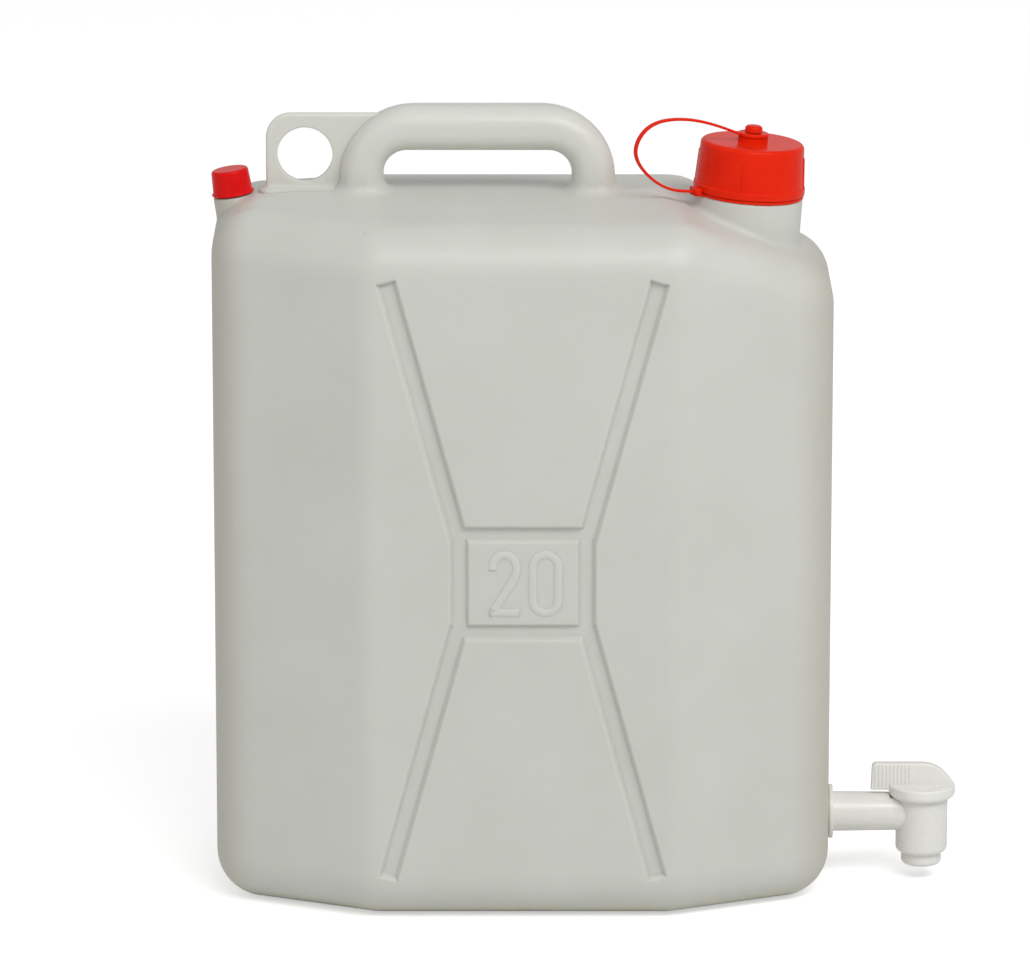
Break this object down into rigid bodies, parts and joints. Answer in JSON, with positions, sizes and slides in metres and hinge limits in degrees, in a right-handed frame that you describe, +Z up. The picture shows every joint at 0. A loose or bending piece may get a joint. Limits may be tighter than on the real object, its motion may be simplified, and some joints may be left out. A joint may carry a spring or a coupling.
{
  "type": "plastic water canister with spigot",
  "caption": "Flat octagonal blow-moulded canister with carrying handle, hanging web, vent cap, tethered screw cap and a rotary draw-off tap low on one end.",
  "frame": {"origin": "centre of the can's flat bottom", "axes": "+X along the can towards the tap, +Z up, -Y is the front face in the picture"},
  "size_m": [0.4254, 0.184, 0.4544],
  "materials": {
    "natural_hdpe": "translucent satin",
    "orange_red_plastic": "smooth gloss",
    "red_plastic": "smooth gloss",
    "foam_liner": "matt foam",
    "milky_plastic": "milky satin",
    "pale_rubber": "matt"
  },
  "bodies": {
    "canister": {"canister_body": "natural_hdpe", "cap_tether": "orange_red_plastic", "tap_body": "milky_plastic", "tap_gasket": "pale_rubber", "tap_backnut": "milky_plastic"},
    "filler_seal": {"filler_gasket": "foam_liner"},
    "filler_closure": {"filler_cap": "orange_red_plastic"},
    "vent_seal": {"vent_gasket": "foam_liner"},
    "vent_closure": {"vent_cap": "red_plastic"},
    "tap_plug": {"tap_key": "milky_plastic"}
  },
  "joints": [
    {"name": "filler_lift", "type": "slide", "parent": "canister", "child": "filler_seal", "axis": [0.0732, 0, 0.9973], "range_m": [0, 0.0081], "deforming": ["cap_tether"]},
    {"name": "filler_turn", "type": "hinge", "parent": "filler_seal", "child": "filler_closure", "pos_m": [0.1276, 0, 0.4029], "axis": [0.0732, 0, 0.9973], "range_deg": [0, 720]},
    {"name": "vent_lift", "type": "slide", "parent": "canister", "child": "vent_seal", "axis": [-0.1444, 0, 0.9895], "range_m": [0, 0.0051]},
    {"name": "vent_turn", "type": "hinge", "parent": "vent_seal", "child": "vent_closure", "pos_m": [-0.1636, 0, 0.4024], "axis": [-0.1444, 0, 0.9895], "range_deg": [0, 720]},
    {"name": "tap_turn", "type": "hinge", "parent": "canister", "child": "tap_plug", "pos_m": [0.2303, 0, 0.0392], "axis": [0, 0, 1], "range_deg": [0, 90]}
  ],
  "couplings": [
    {"joint": "filler_lift", "follows": "filler_turn", "m_per_rad": 0.00063662},
    {"joint": "vent_lift", "follows": "vent_turn", "m_per_rad": 0.00039789}
  ]
}
